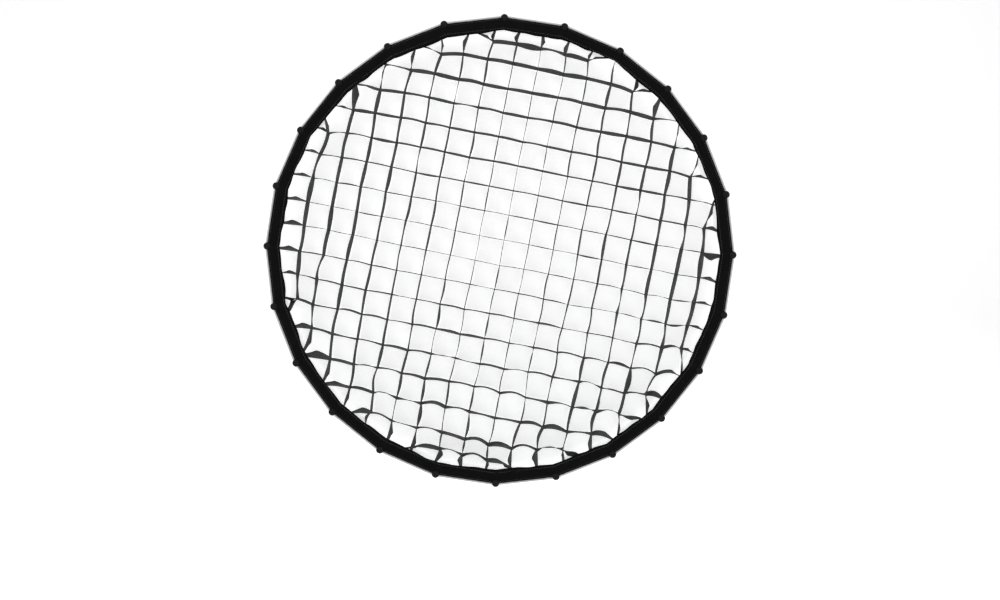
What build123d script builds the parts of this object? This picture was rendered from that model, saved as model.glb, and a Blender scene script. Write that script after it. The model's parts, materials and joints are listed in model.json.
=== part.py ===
"""Deep 24-rib quick-folding octabox: light mount insert, speed ring, runner, ribs, canopy, fabrics.

The optical axis lies along Y and the open front faces -Y, with +Z up. The origin is the centre of
the mount insert's rear face. Profiles are drawn in rib planes, whose local x is the distance from
the axis and whose local y is the distance forward of the origin.
"""

import os
from math import cos, radians, sin, tan

from build123d import *

# ---- ribs -------------------------------------------------------------------------------------
RIB_COUNT = 24
RIB_STEP = 360 / RIB_COUNT
HALF_STEP = RIB_STEP / 2
RIB_RADIUS = 2.5
TIP_FROM_AXIS = 592.0        # rib centre line at its tip, with the octabox open
ROOT_SLOPE = 61.0            # angle between the rib and the axis at the ring
TIP_SLOPE = 25.0             # the same angle at the tip
CAP_RADIUS = 10.0
CAP_BORE_DEPTH = 8.0

# ---- hinge ring and heel ----------------------------------------------------------------------
PIVOT_FROM_AXIS = 80.0
PIVOT_FORWARD = 44.5
PIN_RADIUS = 1.5
PIN_LENGTH = 12.0
HEEL_CRANK = 20.0            # from the pin to the centre of the heel's round end
HEEL_LIFT = 20.0             # degrees forward of the ring's plane when open, and behind it when folded
HEEL_END_RADIUS = 4.0
HEEL_THICKNESS = 5.0
HEEL_ARM_WIDTH = 4.0
EYE_RADIUS = 5.0
NECK_WIDTH = 7.0
SOCKET_RADIUS = 4.5
SOCKET_START = 14.0          # along the rib, from the pin
SOCKET_END = 30.0
ROD_START = 20.0

# ---- light mount ------------------------------------------------------------------------------
THROAT_RADIUS = 49.0
SPIGOT_RADIUS = 53.0
SPIGOT_LENGTH = 22.0
INSERT_RADIUS = 76.0
INSERT_THICKNESS = 8.0
LUG_COUNT = 3
LUG_ARC = 28.0
LUG_INNER = 59.0
LUG_STEM = 64.0
LUG_LIP = 68.0
LUG_HEIGHT = 9.0
LUG_LIP_THICKNESS = 4.0
RETAINER_RADIUS = 58.2
RETAINER_THICKNESS = 2.5
RETAINER_NOTCHES = 4

# ---- speed ring -------------------------------------------------------------------------------
RUNNING_FIT = 0.05
APART = 0.3                  # free gap between parts that move past each other
RING_RADIUS = 98.0
RING_REAR = 1.0
RIM_INNER = 92.0
RIM_FRONT = 30.0
WEB_FRONT = 14.0
POCKET_RADIUS = 58.7
SEAT_FRONT = 25.0            # face that the guide sleeve is screwed to
WALL_INNER = 74.0
WALL_OUTER = 87.0
WALL_FRONT = 50.0
SLOT_WIDTH = 5.6
SLOT_FLOOR = 38.0
RING_BOSSES = 12

# ---- guide sleeve, runner and their screws ----------------------------------------------------
SLEEVE_INNER = 50.0
SLEEVE_OUTER = 53.0
SLEEVE_FRONT = 66.0
SLEEVE_FLANGE_RADIUS = 73.5
SLEEVE_FLANGE_THICKNESS = 3.0
SCREW_COUNT = 6
SCREW_CIRCLE = 69.5
SCREW_RADIUS = 1.95
SCREW_LENGTH = 11.0
SCREW_HEAD_RADIUS = 3.4
SCREW_HEAD_HEIGHT = 2.0
STOP_RING_OUTER = 57.5
STOP_RING_REAR = 61.0
STOP_RING_THICKNESS = 2.4
COLLAR_TUBE = 55.5
COLLAR_FLANGE = 65.0
COLLAR_FLANGE_THICKNESS = 4.0
GROOVE_HALF = 4.5
FINGER_TAB_REACH = 72.0
FINGER_TAB_WIDTH = 8.0
FINGER_TAB_ANGLES = (97.5, 217.5, 337.5)

# ---- runner lock bolts and rotation knob ------------------------------------------------------
BOLT_ANGLES = (7.5, 187.5)
BOLT_WIDTH = 7.0
BOLT_REAR = 38.4
BOLT_THICKNESS = 4.0
BOLT_INNER = 66.0            # drawn back, clear of the runner
BOLT_OUTER = 112.0
BOLT_TAB_WIDTH = 16.0
BOLT_TAB_LENGTH = 9.0
BOLT_TAB_CORNER = 2.0
BOLT_LIP = 3.0               # turned back at the tab's end, for a fingernail
KNOB_ANGLE = 270.0
KNOB_FORWARD = 4.5
KNOB_SCREW_RADIUS = 2.0
KNOB_SCREW_TIP = 76.5
KNOB_FOOT = 99.0
KNOB_TOP = 113.0
KNOB_RADIUS = 10.0
KNOB_FLUTES = 8

# ---- fabrics ----------------------------------------------------------------------------------
CANOPY_GAP = 0.7             # between a rib and the inside of the canopy
CANOPY_THICKNESS = 1.2
CANOPY_ROOT = 31.5           # along the rib, where the canopy starts
CANOPY_TIP_MARGIN = 14.0
SEAM_GAP = 0.15              # half the gap between neighbouring gores
HEM_WIDTH = 32.0
HEM_THICKNESS = 2.4
HEM_CORNER = 591.0
PIPING_RADIUS = 2.2
PIPING_CORNER = 594.0
CAP_CLEARANCE = 0.5
DIFFUSER_RADIUS = 561.0
DIFFUSER_THICKNESS = 1.6
BAFFLE_FORWARD = 330.0
BAFFLE_MARGIN = 12.0
GRID_CELL = 64.0
GRID_DEPTH = 46.0
GRID_STRIP = 0.8
GRID_TURN = -10.0            # degrees, seen from the front
GRID_SHIFT = (5.0, 28.0)     # of the crossings from the axis, along the turned strips
GRID_FRONT_RADIUS = 578.0
GRID_BORDER = 2.0

# ---- worked out from the values above ---------------------------------------------------------
CHORD_SLOPE = (ROOT_SLOPE + TIP_SLOPE) / 2
CHORD = (TIP_FROM_AXIS - PIVOT_FROM_AXIS) / sin(radians(CHORD_SLOPE))
RIB_CURVE = CHORD / (2 * sin(radians((ROOT_SLOPE - TIP_SLOPE) / 2)))
RIB_LENGTH = RIB_CURVE * radians(ROOT_SLOPE - TIP_SLOPE)
TIP_FORWARD = PIVOT_FORWARD + CHORD * cos(radians(CHORD_SLOPE))
HEEL_FORWARD = PIVOT_FORWARD + HEEL_CRANK * sin(radians(HEEL_LIFT))
HEEL_FROM_AXIS = PIVOT_FROM_AXIS - HEEL_CRANK * cos(radians(HEEL_LIFT))
COLLAR_REAR = HEEL_FORWARD - GROOVE_HALF - COLLAR_FLANGE_THICKNESS
COLLAR_FRONT = HEEL_FORWARD + GROOVE_HALF + COLLAR_FLANGE_THICKNESS
HEM_REAR = TIP_FORWARD - 1.5
GRID_FRONT = HEM_REAR - 2.5
GRID_REAR = GRID_FRONT - GRID_DEPTH
GRID_REAR_RADIUS = GRID_FRONT_RADIUS - GRID_DEPTH * tan(radians(TIP_SLOPE))
DIFFUSER_REAR = GRID_REAR - 2.5 - DIFFUSER_THICKNESS


def axial_plane(angle, offset=0.0):
    """Plane through the axis at an angle about it: local x is outward, local y is forward."""
    a = radians(angle)
    plane = Plane(origin=(0, 0, 0), x_dir=(cos(a), 0, sin(a)), z_dir=(sin(a), 0, -cos(a)))
    return plane.offset(offset)


def face_plane(forward):
    """Plane across the axis, facing forward: local x is +X and local y is +Z."""
    return Plane(origin=(0, -forward, 0), x_dir=(1, 0, 0), z_dir=(0, -1, 0))


def radial_plane(angle, from_axis, forward):
    """Plane facing outward at a distance from the axis: local y is forward."""
    a = radians(angle)
    out = (cos(a), 0, sin(a))
    side = (sin(a), 0, -cos(a))
    origin = (from_axis * cos(a), -forward, from_axis * sin(a))
    return Plane(origin=origin, x_dir=tuple(-v for v in side), z_dir=out)


def rib_point(along, lift=0.0):
    """(from axis, forward) of a point along the rib's centre line, lifted to its outer side."""
    slope = radians(ROOT_SLOPE) - along / RIB_CURVE
    start = radians(ROOT_SLOPE)
    from_axis = PIVOT_FROM_AXIS + RIB_CURVE * (cos(slope) - cos(start))
    forward = PIVOT_FORWARD + RIB_CURVE * (sin(start) - sin(slope))
    return from_axis + lift * cos(slope), forward - lift * sin(slope)


def rib_radius_at(forward):
    """Distance of the rib's centre line from the axis at a distance forward."""
    slope = sin(radians(ROOT_SLOPE)) - (forward - PIVOT_FORWARD) / RIB_CURVE
    return PIVOT_FROM_AXIS + RIB_CURVE * ((1 - slope**2) ** 0.5 - cos(radians(ROOT_SLOPE)))


def save(builder, name):
    builder.part.label = name
    export_step(builder.part, f"parts/{name}.step")


os.makedirs("parts", exist_ok=True)

# ---- mount insert: flange, spigot and three bayonet lugs ---------------------------------------
with BuildPart() as mount_insert:
    with BuildSketch(axial_plane(0)):
        with BuildLine():
            Polyline(
                (THROAT_RADIUS, 0), (INSERT_RADIUS, 0), (INSERT_RADIUS, INSERT_THICKNESS),
                (SPIGOT_RADIUS, INSERT_THICKNESS), (SPIGOT_RADIUS, SPIGOT_LENGTH),
                (THROAT_RADIUS, SPIGOT_LENGTH), close=True,
            )
        make_face()
    revolve(axis=Axis.Y)
    for lug in range(LUG_COUNT):
        start = 90 + lug * 360 / LUG_COUNT - LUG_ARC / 2
        with BuildSketch(axial_plane(start)):
            with BuildLine():
                Polyline(
                    (LUG_INNER, 0), (LUG_INNER, -LUG_HEIGHT), (LUG_LIP, -LUG_HEIGHT),
                    (LUG_LIP, -LUG_HEIGHT + LUG_LIP_THICKNESS),
                    (LUG_STEM, -LUG_HEIGHT + LUG_LIP_THICKNESS), (LUG_STEM, 0), close=True,
                )
            make_face()
        revolve(axis=Axis.Y, revolution_arc=-LUG_ARC)
    outer_edges = mount_insert.edges().filter_by(GeomType.CIRCLE)
    chamfer(outer_edges.filter_by(lambda e: abs(e.radius - INSERT_RADIUS) < 0.01), 0.8)
save(mount_insert, "mount_insert")

with BuildPart() as retaining_ring:
    with BuildSketch(face_plane(SPIGOT_LENGTH)):
        Circle(RETAINER_RADIUS)
        Circle(THROAT_RADIUS + 0.5, mode=Mode.SUBTRACT)
        with PolarLocations(RETAINER_RADIUS, RETAINER_NOTCHES):
            Rectangle(3.0, 5.0, mode=Mode.SUBTRACT)
    extrude(amount=RETAINER_THICKNESS)
save(retaining_ring, "retaining_ring")

# ---- speed ring: hub, slotted hinge wall and rim -----------------------------------------------
with BuildPart() as speed_ring:
    with BuildSketch(axial_plane(0)):
        hub = SPIGOT_RADIUS + RUNNING_FIT
        hub_rear = INSERT_THICKNESS + APART
        hub_front = SPIGOT_LENGTH - APART
        with BuildLine():
            Polyline(
                (hub, hub_rear), (hub, hub_front), (POCKET_RADIUS, hub_front),
                (POCKET_RADIUS, SEAT_FRONT), (WALL_INNER, SEAT_FRONT), (WALL_INNER, WALL_FRONT),
                (WALL_OUTER, WALL_FRONT), (WALL_OUTER, WEB_FRONT), (RIM_INNER, WEB_FRONT),
                (RIM_INNER, RIM_FRONT), (RING_RADIUS, RIM_FRONT), (RING_RADIUS, RING_REAR),
                (INSERT_RADIUS + APART, RING_REAR), (INSERT_RADIUS + APART, hub_rear), close=True,
            )
        make_face()
    revolve(axis=Axis.Y)
    ring_edges = speed_ring.edges().filter_by(GeomType.CIRCLE)
    chamfer(ring_edges.filter_by(lambda e: abs(e.radius - RING_RADIUS) < 0.01), 1.0)
    chamfer(ring_edges.filter_by(lambda e: abs(e.radius - WALL_OUTER) < 0.01).sort_by(Axis.Y)[0], 1.5)
    with BuildSketch(face_plane(SLOT_FLOOR)):
        with PolarLocations((WALL_INNER + WALL_OUTER) / 2, RIB_COUNT):
            Rectangle(WALL_OUTER - WALL_INNER + 6, SLOT_WIDTH)
    extrude(amount=WALL_FRONT - SLOT_FLOOR + 1, mode=Mode.SUBTRACT)
    for i in range(RIB_COUNT):
        with BuildSketch(axial_plane(i * RIB_STEP, -PIN_LENGTH / 2 - 0.2)):
            with Locations((PIVOT_FROM_AXIS, PIVOT_FORWARD)):
                Circle(PIN_RADIUS + 0.02)
        extrude(amount=PIN_LENGTH + 0.4, mode=Mode.SUBTRACT)
    for angle in BOLT_ANGLES:
        with BuildSketch(radial_plane(angle, WALL_INNER - 2, BOLT_REAR + BOLT_THICKNESS / 2)):
            Rectangle(BOLT_WIDTH + 2 * APART, BOLT_THICKNESS + 2 * APART)
        extrude(amount=WALL_OUTER - WALL_INNER + 4, mode=Mode.SUBTRACT)
    with BuildSketch(face_plane(SEAT_FRONT)):
        with PolarLocations(SCREW_CIRCLE, SCREW_COUNT):
            Circle(SCREW_RADIUS + RUNNING_FIT)
    extrude(amount=-(SCREW_LENGTH - SLEEVE_FLANGE_THICKNESS + 1), mode=Mode.SUBTRACT)
    with BuildSketch(radial_plane(KNOB_ANGLE, INSERT_RADIUS, KNOB_FORWARD)):
        Circle(KNOB_SCREW_RADIUS + RUNNING_FIT)
    extrude(amount=RING_RADIUS - INSERT_RADIUS + 2, mode=Mode.SUBTRACT)
    with BuildSketch(face_plane(RING_REAR)):
        with PolarLocations((INSERT_RADIUS + RING_RADIUS) / 2 + 1, RING_BOSSES, start_angle=HALF_STEP):
            Circle(3.2)
    extrude(amount=1.2, mode=Mode.SUBTRACT)
save(speed_ring, "speed_ring")

# ---- guide sleeve with its six screws and the runner's stop ring -------------------------------
with BuildPart() as guide_sleeve:
    with BuildSketch(axial_plane(0)):
        sleeve_flange_front = SEAT_FRONT + SLEEVE_FLANGE_THICKNESS
        with BuildLine():
            Polyline(
                (SLEEVE_INNER, SEAT_FRONT), (SLEEVE_FLANGE_RADIUS, SEAT_FRONT),
                (SLEEVE_FLANGE_RADIUS, sleeve_flange_front), (SLEEVE_OUTER, sleeve_flange_front),
                (SLEEVE_OUTER, SLEEVE_FRONT), (SLEEVE_INNER, SLEEVE_FRONT), close=True,
            )
        make_face()
    revolve(axis=Axis.Y)
    with BuildSketch(face_plane(SEAT_FRONT)):
        with PolarLocations(SCREW_CIRCLE, SCREW_COUNT):
            Circle(SCREW_RADIUS + RUNNING_FIT)
    extrude(amount=SLEEVE_FLANGE_THICKNESS, mode=Mode.SUBTRACT)
    with BuildSketch(face_plane(sleeve_flange_front - SCREW_LENGTH)):
        with PolarLocations(SCREW_CIRCLE, SCREW_COUNT):
            Circle(SCREW_RADIUS)
    extrude(amount=SCREW_LENGTH + RUNNING_FIT)
    with BuildSketch(face_plane(sleeve_flange_front + RUNNING_FIT)):
        with PolarLocations(SCREW_CIRCLE, SCREW_COUNT):
            Circle(SCREW_HEAD_RADIUS)
    extrude(amount=SCREW_HEAD_HEIGHT)
    with BuildSketch(face_plane(sleeve_flange_front + SCREW_HEAD_HEIGHT)):
        with PolarLocations(SCREW_CIRCLE, SCREW_COUNT):
            RegularPolygon(1.4, 6)
    extrude(amount=-1.2, mode=Mode.SUBTRACT)
    with BuildSketch(face_plane(STOP_RING_REAR)):
        Circle(STOP_RING_OUTER)
        Circle(SLEEVE_OUTER + RUNNING_FIT, mode=Mode.SUBTRACT)
    extrude(amount=STOP_RING_THICKNESS)
save(guide_sleeve, "guide_sleeve")

# ---- runner: the grooved collar that carries every rib's heel ----------------------------------
with BuildPart() as runner_collar:
    with BuildSketch(axial_plane(0)):
        collar_bore = SLEEVE_OUTER + RUNNING_FIT
        with BuildLine():
            Polyline(
                (collar_bore, COLLAR_REAR), (COLLAR_FLANGE, COLLAR_REAR),
                (COLLAR_FLANGE, COLLAR_REAR + COLLAR_FLANGE_THICKNESS),
                (COLLAR_TUBE, COLLAR_REAR + COLLAR_FLANGE_THICKNESS),
                (COLLAR_TUBE, COLLAR_FRONT - COLLAR_FLANGE_THICKNESS),
                (COLLAR_FLANGE, COLLAR_FRONT - COLLAR_FLANGE_THICKNESS),
                (COLLAR_FLANGE, COLLAR_FRONT), (collar_bore, COLLAR_FRONT), close=True,
            )
        make_face()
    revolve(axis=Axis.Y)
    with BuildSketch(face_plane(COLLAR_FRONT - COLLAR_FLANGE_THICKNESS)):
        for angle in FINGER_TAB_ANGLES:
            reach = FINGER_TAB_REACH - COLLAR_TUBE
            middle = (COLLAR_TUBE + FINGER_TAB_REACH) / 2
            with Locations((middle * cos(radians(angle)), middle * sin(radians(angle)))):
                Rectangle(reach, FINGER_TAB_WIDTH, rotation=angle)
    extrude(amount=COLLAR_FLANGE_THICKNESS)
save(runner_collar, "runner_collar")

with BuildPart() as hinge_pins:
    for i in range(RIB_COUNT):
        with BuildSketch(axial_plane(i * RIB_STEP, -PIN_LENGTH / 2)):
            with Locations((PIVOT_FROM_AXIS, PIVOT_FORWARD)):
                Circle(PIN_RADIUS)
        extrude(amount=PIN_LENGTH)
save(hinge_pins, "hinge_pins")

# ---- two flat bolts that lock the runner open, shown drawn back --------------------------------
for number, angle in enumerate(BOLT_ANGLES, start=1):
    with BuildPart() as lock_bolt:
        middle = BOLT_REAR + BOLT_THICKNESS / 2
        with BuildSketch(radial_plane(angle, BOLT_INNER, middle)):
            Rectangle(BOLT_WIDTH, BOLT_THICKNESS)
        extrude(amount=BOLT_OUTER - BOLT_INNER)
        tab_middle = BOLT_OUTER - BOLT_TAB_LENGTH / 2
        with BuildSketch(face_plane(BOLT_REAR)):
            with Locations((tab_middle * cos(radians(angle)), tab_middle * sin(radians(angle)))):
                RectangleRounded(BOLT_TAB_LENGTH, BOLT_TAB_WIDTH, BOLT_TAB_CORNER, rotation=angle)
        extrude(amount=BOLT_THICKNESS)
        with BuildSketch(radial_plane(angle, BOLT_OUTER - BOLT_LIP, middle - BOLT_THICKNESS / 2)):
            Rectangle(BOLT_TAB_WIDTH - 2 * BOLT_TAB_CORNER, 2 * BOLT_THICKNESS)
        extrude(amount=BOLT_LIP)
    save(lock_bolt, f"lock_bolt_{number}")

# ---- knob that stops the ring from turning on the insert ---------------------------------------
with BuildPart() as rotation_knob:
    with BuildSketch(radial_plane(KNOB_ANGLE, KNOB_SCREW_TIP, KNOB_FORWARD)):
        Circle(KNOB_SCREW_RADIUS)
    extrude(amount=KNOB_FOOT - KNOB_SCREW_TIP)
    with BuildSketch(radial_plane(KNOB_ANGLE, KNOB_FOOT, KNOB_FORWARD)):
        Circle(KNOB_RADIUS)
        with PolarLocations(KNOB_RADIUS + 1.2, KNOB_FLUTES):
            Circle(2.6, mode=Mode.SUBTRACT)
    extrude(amount=KNOB_TOP - KNOB_FOOT)
    chamfer(rotation_knob.faces().sort_by(Axis.Z)[0].edges(), 0.8)
save(rotation_knob, "rotation_knob")

# ---- one rib at angle 0: heel fitting, rod and tip cap as separate solids ----------------------
root_direction = (sin(radians(ROOT_SLOPE)), cos(radians(ROOT_SLOPE)))


def root_plane(along):
    """Plane across the straight heel fitting, at a distance from the pin along the root's line."""
    x = PIVOT_FROM_AXIS + along * root_direction[0]
    y = -(PIVOT_FORWARD + along * root_direction[1])
    return Plane(origin=(x, y, 0), x_dir=(0, 0, 1), z_dir=(root_direction[0], -root_direction[1], 0))


with BuildPart() as rib_pattern:
    with BuildSketch(axial_plane(0)):
        with Locations((PIVOT_FROM_AXIS, PIVOT_FORWARD)):
            Circle(EYE_RADIUS)
        with Locations((HEEL_FROM_AXIS, HEEL_FORWARD)):
            Circle(HEEL_END_RADIUS)
        with Locations(((HEEL_FROM_AXIS + PIVOT_FROM_AXIS) / 2, (HEEL_FORWARD + PIVOT_FORWARD) / 2)):
            Rectangle(HEEL_CRANK, HEEL_ARM_WIDTH, rotation=-HEEL_LIFT)
        neck_x = PIVOT_FROM_AXIS + SOCKET_START / 2 * root_direction[0]
        neck_y = PIVOT_FORWARD + SOCKET_START / 2 * root_direction[1]
        with Locations((neck_x, neck_y)):
            Rectangle(SOCKET_START, NECK_WIDTH, rotation=90 - ROOT_SLOPE)
    extrude(amount=HEEL_THICKNESS / 2, both=True)
    with BuildSketch(axial_plane(0)):
        with Locations((PIVOT_FROM_AXIS, PIVOT_FORWARD)):
            Circle(PIN_RADIUS + RUNNING_FIT)
    extrude(amount=HEEL_THICKNESS, both=True, mode=Mode.SUBTRACT)
    with BuildSketch(root_plane(SOCKET_START - 1)):
        Circle(SOCKET_RADIUS)
    extrude(amount=SOCKET_END - SOCKET_START + 1)
    with BuildSketch(root_plane(ROD_START)):
        Circle(RIB_RADIUS + 0.7)
    extrude(amount=SOCKET_END - ROD_START + 1, mode=Mode.SUBTRACT)
    rod_ends = [rib_point(s) for s in (ROD_START + 1, RIB_LENGTH / 2, RIB_LENGTH - 2)]
    with BuildLine(axial_plane(0)) as rod_line:
        ThreePointArc(*rod_ends)
    with BuildSketch(Plane(origin=rod_line.line @ 0, z_dir=rod_line.line % 0)):
        Circle(RIB_RADIUS)
    sweep(path=rod_line.line)
    cap_x, cap_f = rib_point(RIB_LENGTH - 3)
    tip_slope = radians(TIP_SLOPE)
    cap_location = Location((cap_x, -cap_f, 0))
    cap_axis = (sin(tip_slope), -cos(tip_slope), 0)
    with Locations(cap_location):
        cap_ball = Sphere(CAP_RADIUS, mode=Mode.PRIVATE)
    bore_x, bore_f = rib_point(RIB_LENGTH - 3 - CAP_RADIUS)
    cap_bore_plane = Plane(origin=(bore_x, -bore_f, 0), z_dir=cap_axis)
    with BuildSketch(cap_bore_plane) as cap_bore_sketch:
        Circle(RIB_RADIUS + 0.2)
    cap_bore = extrude(cap_bore_sketch.sketch, CAP_RADIUS + 4, dir=cap_axis, mode=Mode.PRIVATE)
    add(cap_ball - cap_bore)

# ---- one gore at angle 0: canopy panel, hem and piping as separate solids ----------------------
SIDE = cos(radians(HALF_STEP))


def side_point(along, lift):
    """A point of the canopy profile, drawn half-way between two ribs where the panel is nearest."""
    from_axis, forward = rib_point(along, lift)
    return from_axis * SIDE, forward


inner_lift = RIB_RADIUS + CANOPY_GAP
outer_lift = inner_lift + CANOPY_THICKNESS
panel_stations = (CANOPY_ROOT, (CANOPY_ROOT + RIB_LENGTH) / 2, RIB_LENGTH - CANOPY_TIP_MARGIN)
inner_points = [side_point(s, inner_lift) for s in panel_stations]
outer_points = [side_point(s, outer_lift) for s in panel_stations]
cap_x, cap_f = rib_point(RIB_LENGTH - 3)
clear_ball = Pos(cap_x, -cap_f, 0) * Sphere(CAP_RADIUS + CAP_CLEARANCE)

with BuildPart() as gore_pattern:
    with BuildSketch(axial_plane(HALF_STEP, SEAM_GAP)):
        with BuildLine():
            ThreePointArc(*inner_points)
            Line(inner_points[-1], outer_points[-1])
            ThreePointArc(*outer_points)
            Line(outer_points[0], inner_points[0])
        make_face()
        hem_outer = HEM_CORNER * SIDE
        with Locations((hem_outer - HEM_WIDTH / 2, HEM_REAR + HEM_THICKNESS / 2)):
            Rectangle(HEM_WIDTH, HEM_THICKNESS)
    extrude(amount=TIP_FROM_AXIS / 4)
    split(bisect_by=Plane.XY, keep=Keep.TOP)
    mirror(about=Plane.XY)
    with BuildSketch(axial_plane(HALF_STEP, SEAM_GAP)):
        with Locations((PIPING_CORNER * SIDE, TIP_FORWARD)):
            Circle(PIPING_RADIUS)
    piping_length = PIPING_CORNER * sin(radians(HALF_STEP)) - SEAM_GAP
    piping = extrude(amount=piping_length, mode=Mode.PRIVATE)
    add(piping)
    add(piping.mirror(Plane.XY))
    add(clear_ball, mode=Mode.SUBTRACT)

for i in range(RIB_COUNT):
    turn = (0, -i * RIB_STEP, 0)
    with BuildPart() as rib:
        add(rib_pattern.part, rotation=turn)
    save(rib, f"rib_{i + 1:02d}")
    with BuildPart() as canopy_gore:
        add(gore_pattern.part, rotation=turn)
    save(canopy_gore, f"canopy_gore_{i + 1:02d}")

# ---- inner baffle and front diffuser -----------------------------------------------------------
with BuildPart() as inner_baffle:
    with BuildSketch(face_plane(BAFFLE_FORWARD)):
        Circle(rib_radius_at(BAFFLE_FORWARD) - BAFFLE_MARGIN)
    extrude(amount=DIFFUSER_THICKNESS)
save(inner_baffle, "inner_baffle")

with BuildPart() as front_diffuser:
    with BuildSketch(face_plane(DIFFUSER_REAR)):
        Circle(DIFFUSER_RADIUS)
    extrude(amount=DIFFUSER_THICKNESS)
save(front_diffuser, "front_diffuser")

# ---- egg-crate grid ----------------------------------------------------------------------------
half_count = int(GRID_FRONT_RADIUS // GRID_CELL) + 1
turn_cos = cos(radians(GRID_TURN))
turn_sin = sin(radians(GRID_TURN))
with BuildPart() as egg_crate_grid:
    with BuildSketch(face_plane(GRID_REAR)):
        for k in range(-half_count, half_count + 1):
            across = GRID_SHIFT[0] + k * GRID_CELL
            up = GRID_SHIFT[1] + k * GRID_CELL
            if abs(across) < GRID_FRONT_RADIUS - 20:
                with Locations((across * turn_cos, across * turn_sin)):
                    Rectangle(GRID_STRIP, 2.2 * GRID_FRONT_RADIUS, rotation=GRID_TURN)
            if abs(up) < GRID_FRONT_RADIUS - 20:
                with Locations((-up * turn_sin, up * turn_cos)):
                    Rectangle(2.2 * GRID_FRONT_RADIUS, GRID_STRIP, rotation=GRID_TURN)
    extrude(amount=GRID_DEPTH)
    with BuildSketch(axial_plane(0)):
        with BuildLine():
            Polyline(
                (0, GRID_REAR), (GRID_REAR_RADIUS, GRID_REAR), (GRID_FRONT_RADIUS, GRID_FRONT),
                (0, GRID_FRONT), close=True,
            )
        make_face()
    revolve(axis=Axis.Y, mode=Mode.INTERSECT)
    with BuildSketch(axial_plane(0)):
        with BuildLine():
            Polyline(
                (GRID_REAR_RADIUS - GRID_BORDER, GRID_REAR), (GRID_REAR_RADIUS, GRID_REAR),
                (GRID_FRONT_RADIUS, GRID_FRONT), (GRID_FRONT_RADIUS - GRID_BORDER, GRID_FRONT),
                close=True,
            )
        make_face()
    revolve(axis=Axis.Y)
save(egg_crate_grid, "egg_crate_grid")
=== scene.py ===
"""Deep 24-rib quick-folding octabox: cloth, finishes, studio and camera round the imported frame."""
import json
import math

import bmesh
import bpy
import numpy as np
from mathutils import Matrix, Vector, noise


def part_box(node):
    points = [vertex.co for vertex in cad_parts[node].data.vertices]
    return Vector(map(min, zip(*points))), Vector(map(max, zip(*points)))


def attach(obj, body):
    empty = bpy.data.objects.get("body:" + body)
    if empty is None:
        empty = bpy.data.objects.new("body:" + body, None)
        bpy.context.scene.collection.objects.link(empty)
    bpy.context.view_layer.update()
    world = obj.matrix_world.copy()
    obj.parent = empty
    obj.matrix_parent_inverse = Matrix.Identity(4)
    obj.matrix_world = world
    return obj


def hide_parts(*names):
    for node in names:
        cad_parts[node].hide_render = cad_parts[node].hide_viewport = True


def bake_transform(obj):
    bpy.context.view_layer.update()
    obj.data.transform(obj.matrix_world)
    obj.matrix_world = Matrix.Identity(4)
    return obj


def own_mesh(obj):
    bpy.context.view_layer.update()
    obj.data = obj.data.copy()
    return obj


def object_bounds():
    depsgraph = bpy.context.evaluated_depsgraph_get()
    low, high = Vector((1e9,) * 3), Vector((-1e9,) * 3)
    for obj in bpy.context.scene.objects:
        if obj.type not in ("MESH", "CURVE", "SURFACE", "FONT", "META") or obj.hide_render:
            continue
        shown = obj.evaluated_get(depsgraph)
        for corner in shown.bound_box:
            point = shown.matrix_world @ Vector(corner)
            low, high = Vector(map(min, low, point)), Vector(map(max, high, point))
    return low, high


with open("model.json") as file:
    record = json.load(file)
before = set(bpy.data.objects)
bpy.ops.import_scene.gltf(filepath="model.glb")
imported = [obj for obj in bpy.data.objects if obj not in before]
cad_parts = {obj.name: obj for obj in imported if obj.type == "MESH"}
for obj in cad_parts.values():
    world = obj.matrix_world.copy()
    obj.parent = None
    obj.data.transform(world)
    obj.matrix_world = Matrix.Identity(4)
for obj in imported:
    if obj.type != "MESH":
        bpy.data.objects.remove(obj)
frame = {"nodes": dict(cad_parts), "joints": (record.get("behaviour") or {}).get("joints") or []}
cad_low, cad_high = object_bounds()

# ---- the frame's own sizes, in metres ----------------------------------------------------------
joints = {joint["name"]: joint for joint in frame["joints"]}
hinge = joints["rib_fold_01"]
PIVOT_OUT = hinge["pos_m"][0]
PIVOT_FORWARD = -hinge["pos_m"][1]
RIB_COUNT = sum(1 for name in frame["nodes"] if name.startswith("rib_"))
STEP = math.tau / RIB_COUNT
HALF = STEP / 2
RING_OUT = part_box("speed_ring")[1][0]
GRID_FRONT = -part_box("egg_crate_grid")[0][1]
GRID_REAR = -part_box("egg_crate_grid")[1][1]
DIFFUSER_FRONT = -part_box("front_diffuser")[0][1]
DIFFUSER_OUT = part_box("front_diffuser")[1][0]
BAFFLE_FRONT = -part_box("inner_baffle")[0][1]
BAFFLE_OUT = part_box("inner_baffle")[1][0]

# ---- rib curve ---------------------------------------------------------------------------------
ROOT_SLOPE = math.radians(61)
TIP_SLOPE = math.radians(25)
TIP_OUT = 0.592
CHORD = (TIP_OUT - PIVOT_OUT) / math.sin((ROOT_SLOPE + TIP_SLOPE) / 2)
RIB_CURVE = CHORD / (2 * math.sin((ROOT_SLOPE - TIP_SLOPE) / 2))
RIB_LENGTH = RIB_CURVE * (ROOT_SLOPE - TIP_SLOPE)
TIP_FORWARD = PIVOT_FORWARD + CHORD * math.cos((ROOT_SLOPE + TIP_SLOPE) / 2)
HEEL_OUT = 0.1062               # the moulded heel fitting ends here, measured from the axis
CAP_OUT = 0.5805                # and the rubber cap begins here

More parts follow.
